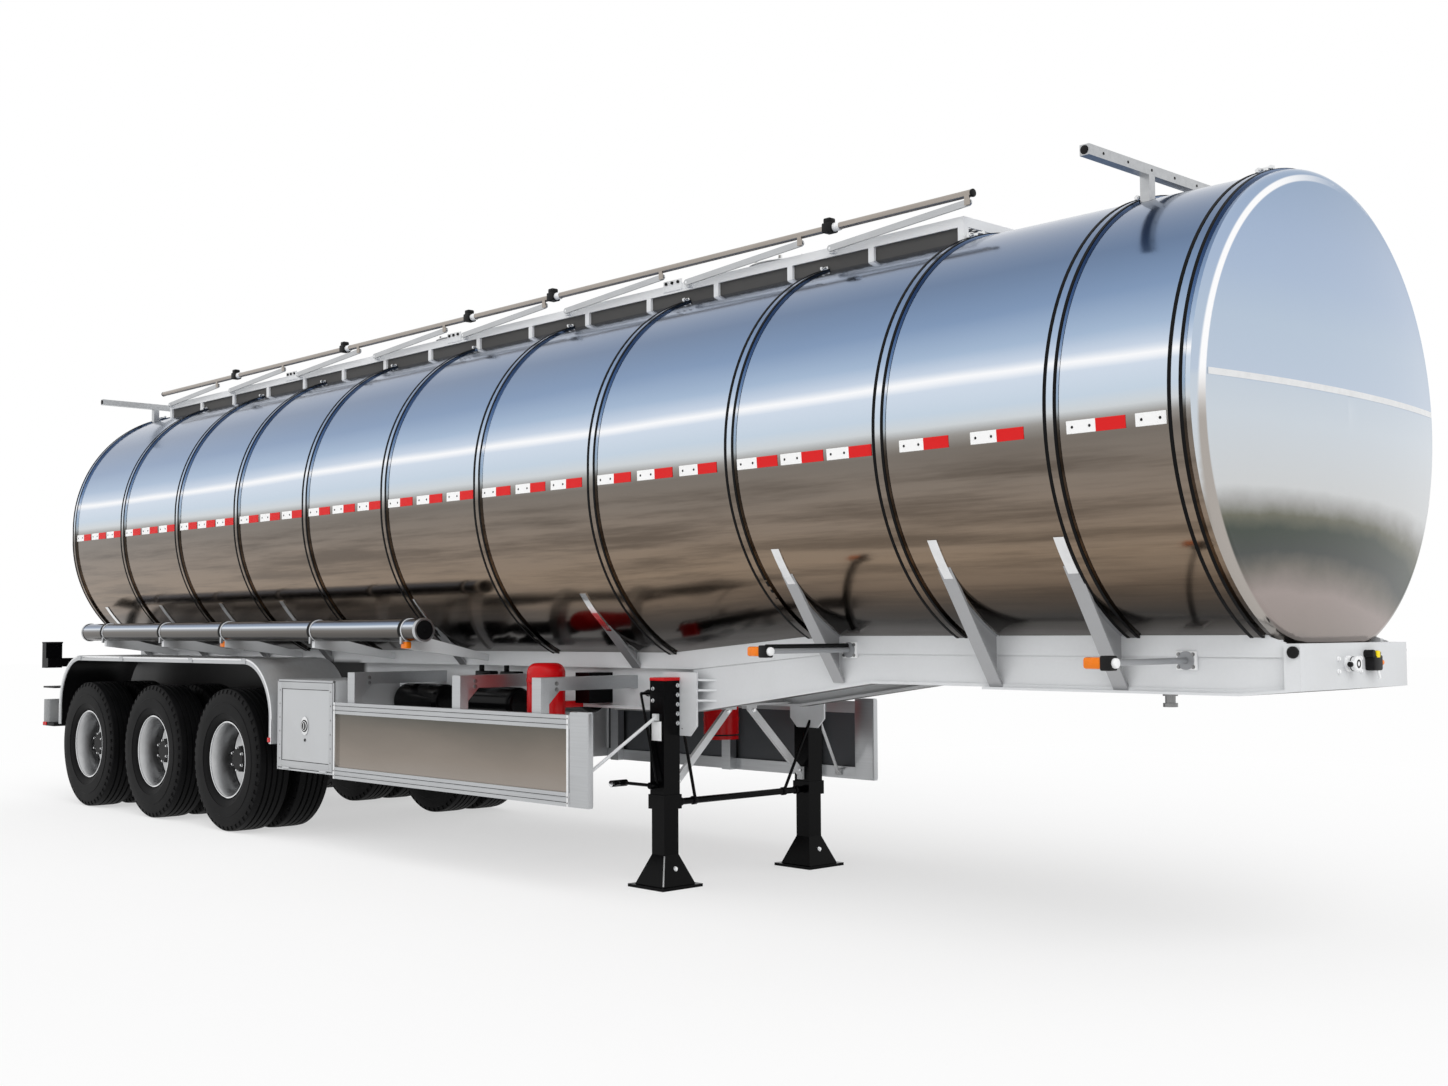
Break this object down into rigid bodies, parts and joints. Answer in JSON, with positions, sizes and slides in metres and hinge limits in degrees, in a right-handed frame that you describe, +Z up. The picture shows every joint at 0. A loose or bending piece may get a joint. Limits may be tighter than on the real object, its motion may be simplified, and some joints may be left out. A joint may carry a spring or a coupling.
{
  "type": "tanker semi-trailer",
  "caption": "Semi-trailer with a polished insulated tank on a gooseneck frame, twin wheels, landing legs, side guards, hose tubes and a roof walkway with a folding handrail.",
  "frame": {"origin": "on the ground under the middle of the trailer", "axes": "+X towards the kingpin and nose, +Y to the trailer's left, +Z up"},
  "size_m": [12.08, 2.48, 3.7784],
  "materials": {
    "polished_steel": "polished stainless",
    "silver_paint": "satin",
    "roof_aluminium": "brushed",
    "black_paint": "gloss",
    "kingpin_steel": "machined",
    "red_plastic": "gloss",
    "wheel_silver": "satin",
    "tyre_rubber": "matte"
  },
  "bodies": {
    "chassis": {"air_tanks": "black_paint", "axle_beams": "black_paint", "coupler_nose": "silver_paint", "cradles": "silver_paint", "cross_members": "silver_paint", "discharge_pipe": "roof_aluminium", "extinguishers": "red_plastic", "fenders": "silver_paint", "guard_frames": "silver_paint", "guard_panels": "polished_steel", "hose_straps": "silver_paint", "hose_tubes": "polished_steel", "kingpin": "kingpin_steel", "leaf_springs": "black_paint", "leg_braces": "silver_paint", "leg_feet": "black_paint", "leg_shaft": "black_paint", "leg_tubes": "black_paint", "main_beams": "silver_paint", "manhole_necks": "roof_aluminium", "marker_lamps": "silver_paint", "nose_fittings": "black_paint", "rear_bumper": "silver_paint", "rear_ladder": "roof_aluminium", "spring_hangers": "black_paint", "tail_lamps": "black_paint", "tank_barrel": "polished_steel", "tank_heads": "polished_steel", "tank_rings": "polished_steel", "toolboxes": "silver_paint", "top_bars": "roof_aluminium", "walkway_deck": "roof_aluminium", "walkway_frame": "roof_aluminium"},
    "left_wheel_1": {"wheel_left_1": "wheel_silver", "tyres_left_1": "tyre_rubber"},
    "left_wheel_2": {"wheel_left_2": "wheel_silver", "tyres_left_2": "tyre_rubber"},
    "left_wheel_3": {"wheel_left_3": "wheel_silver", "tyres_left_3": "tyre_rubber"},
    "right_wheel_1": {"wheel_right_1": "wheel_silver", "tyres_right_1": "tyre_rubber"},
    "right_wheel_2": {"wheel_right_2": "wheel_silver", "tyres_right_2": "tyre_rubber"},
    "right_wheel_3": {"wheel_right_3": "wheel_silver", "tyres_right_3": "tyre_rubber"},
    "door_left": {"toolbox_door_left": "silver_paint"},
    "door_right": {"toolbox_door_right": "silver_paint"},
    "lid_1": {"manhole_lid_1": "roof_aluminium"},
    "lid_2": {"manhole_lid_2": "roof_aluminium"},
    "lid_3": {"manhole_lid_3": "roof_aluminium"},
    "strut_1": {"rail_strut_1": "roof_aluminium"},
    "strut_2": {"rail_strut_2": "roof_aluminium"},
    "strut_3": {"rail_strut_3": "roof_aluminium"},
    "strut_4": {"rail_strut_4": "roof_aluminium"},
    "strut_5": {"rail_strut_5": "roof_aluminium"},
    "strut_6": {"rail_strut_6": "roof_aluminium"},
    "strut_7": {"rail_strut_7": "roof_aluminium"},
    "strut_8": {"rail_strut_8": "roof_aluminium"},
    "rail": {"handrail": "roof_aluminium"}
  },
  "joints": [
    {"name": "left_wheel_1_spin", "type": "hinge", "parent": "chassis", "child": "left_wheel_1", "pos_m": [-5, 0, 0.545], "axis": [0, 1, 0], "continuous": true},
    {"name": "left_wheel_2_spin", "type": "hinge", "parent": "chassis", "child": "left_wheel_2", "pos_m": [-3.69, 0, 0.545], "axis": [0, 1, 0], "continuous": true},
    {"name": "left_wheel_3_spin", "type": "hinge", "parent": "chassis", "child": "left_wheel_3", "pos_m": [-2.38, 0, 0.545], "axis": [0, 1, 0], "continuous": true},
    {"name": "right_wheel_1_spin", "type": "hinge", "parent": "chassis", "child": "right_wheel_1", "pos_m": [-5, 0, 0.545], "axis": [0, 1, 0], "continuous": true},
    {"name": "right_wheel_2_spin", "type": "hinge", "parent": "chassis", "child": "right_wheel_2", "pos_m": [-3.69, 0, 0.545], "axis": [0, 1, 0], "continuous": true},
    {"name": "right_wheel_3_spin", "type": "hinge", "parent": "chassis", "child": "right_wheel_3", "pos_m": [-2.38, 0, 0.545], "axis": [0, 1, 0], "continuous": true},
    {"name": "door_left_hinge", "type": "hinge", "parent": "chassis", "child": "door_left", "pos_m": [-1.1585, 1.232, 0.5395], "axis": [-1, 0, 0], "range_deg": [0, 95]},
    {"name": "door_right_hinge", "type": "hinge", "parent": "chassis", "child": "door_right", "pos_m": [-1.1585, -1.232, 0.5395], "axis": [1, 0, 0], "range_deg": [0, 95]},
    {"name": "lid_1_hinge", "type": "hinge", "parent": "chassis", "child": "lid_1", "pos_m": [2.215, 0, 3.682], "axis": [0, -1, 0], "range_deg": [0, 110]},
    {"name": "lid_2_hinge", "type": "hinge", "parent": "chassis", "child": "lid_2", "pos_m": [-1.171, 0, 3.682], "axis": [0, -1, 0], "range_deg": [0, 110]},
    {"name": "lid_3_hinge", "type": "hinge", "parent": "chassis", "child": "lid_3", "pos_m": [-4.35, 0, 3.682], "axis": [0, -1, 0], "range_deg": [0, 110]},
    {"name": "strut_1_pivot", "type": "hinge", "parent": "chassis", "child": "strut_1", "pos_m": [3.208, -0.42, 3.645], "axis": [0, -1, 0], "range_deg": [0, 86]},
    {"name": "strut_2_pivot", "type": "hinge", "parent": "chassis", "child": "strut_2", "pos_m": [2.008, -0.42, 3.645], "axis": [0, -1, 0], "range_deg": [0, 86]},
    {"name": "strut_3_pivot", "type": "hinge", "parent": "chassis", "child": "strut_3", "pos_m": [0.808, -0.42, 3.645], "axis": [0, -1, 0], "range_deg": [0, 86]},
    {"name": "strut_4_pivot", "type": "hinge", "parent": "chassis", "child": "strut_4", "pos_m": [-0.392, -0.42, 3.645], "axis": [0, -1, 0], "range_deg": [0, 86]},
    {"name": "strut_5_pivot", "type": "hinge", "parent": "chassis", "child": "strut_5", "pos_m": [-1.592, -0.42, 3.645], "axis": [0, -1, 0], "range_deg": [0, 86]},
    {"name": "strut_6_pivot", "type": "hinge", "parent": "chassis", "child": "strut_6", "pos_m": [-2.792, -0.42, 3.645], "axis": [0, -1, 0], "range_deg": [0, 86]},
    {"name": "strut_7_pivot", "type": "hinge", "parent": "chassis", "child": "strut_7", "pos_m": [-3.992, -0.42, 3.645], "axis": [0, -1, 0], "range_deg": [0, 86]},
    {"name": "strut_8_pivot", "type": "hinge", "parent": "chassis", "child": "strut_8", "pos_m": [-5.192, -0.42, 3.645], "axis": [0, -1, 0], "range_deg": [0, 86]},
    {"name": "rail_pivot", "type": "hinge", "parent": "strut_5", "child": "rail", "pos_m": [-0.61439, -0.42, 3.71336], "axis": [0, -1, 0], "range_deg": [-86, 0]}
  ],
  "couplings": [
    {"joint": "strut_1_pivot", "follows": "strut_5_pivot", "ratio": 1},
    {"joint": "strut_2_pivot", "follows": "strut_5_pivot", "ratio": 1},
    {"joint": "strut_3_pivot", "follows": "strut_5_pivot", "ratio": 1},
    {"joint": "strut_4_pivot", "follows": "strut_5_pivot", "ratio": 1},
    {"joint": "strut_6_pivot", "follows": "strut_5_pivot", "ratio": 1},
    {"joint": "strut_7_pivot", "follows": "strut_5_pivot", "ratio": 1},
    {"joint": "strut_8_pivot", "follows": "strut_5_pivot", "ratio": 1},
    {"joint": "rail_pivot", "follows": "strut_5_pivot", "ratio": -1}
  ]
}
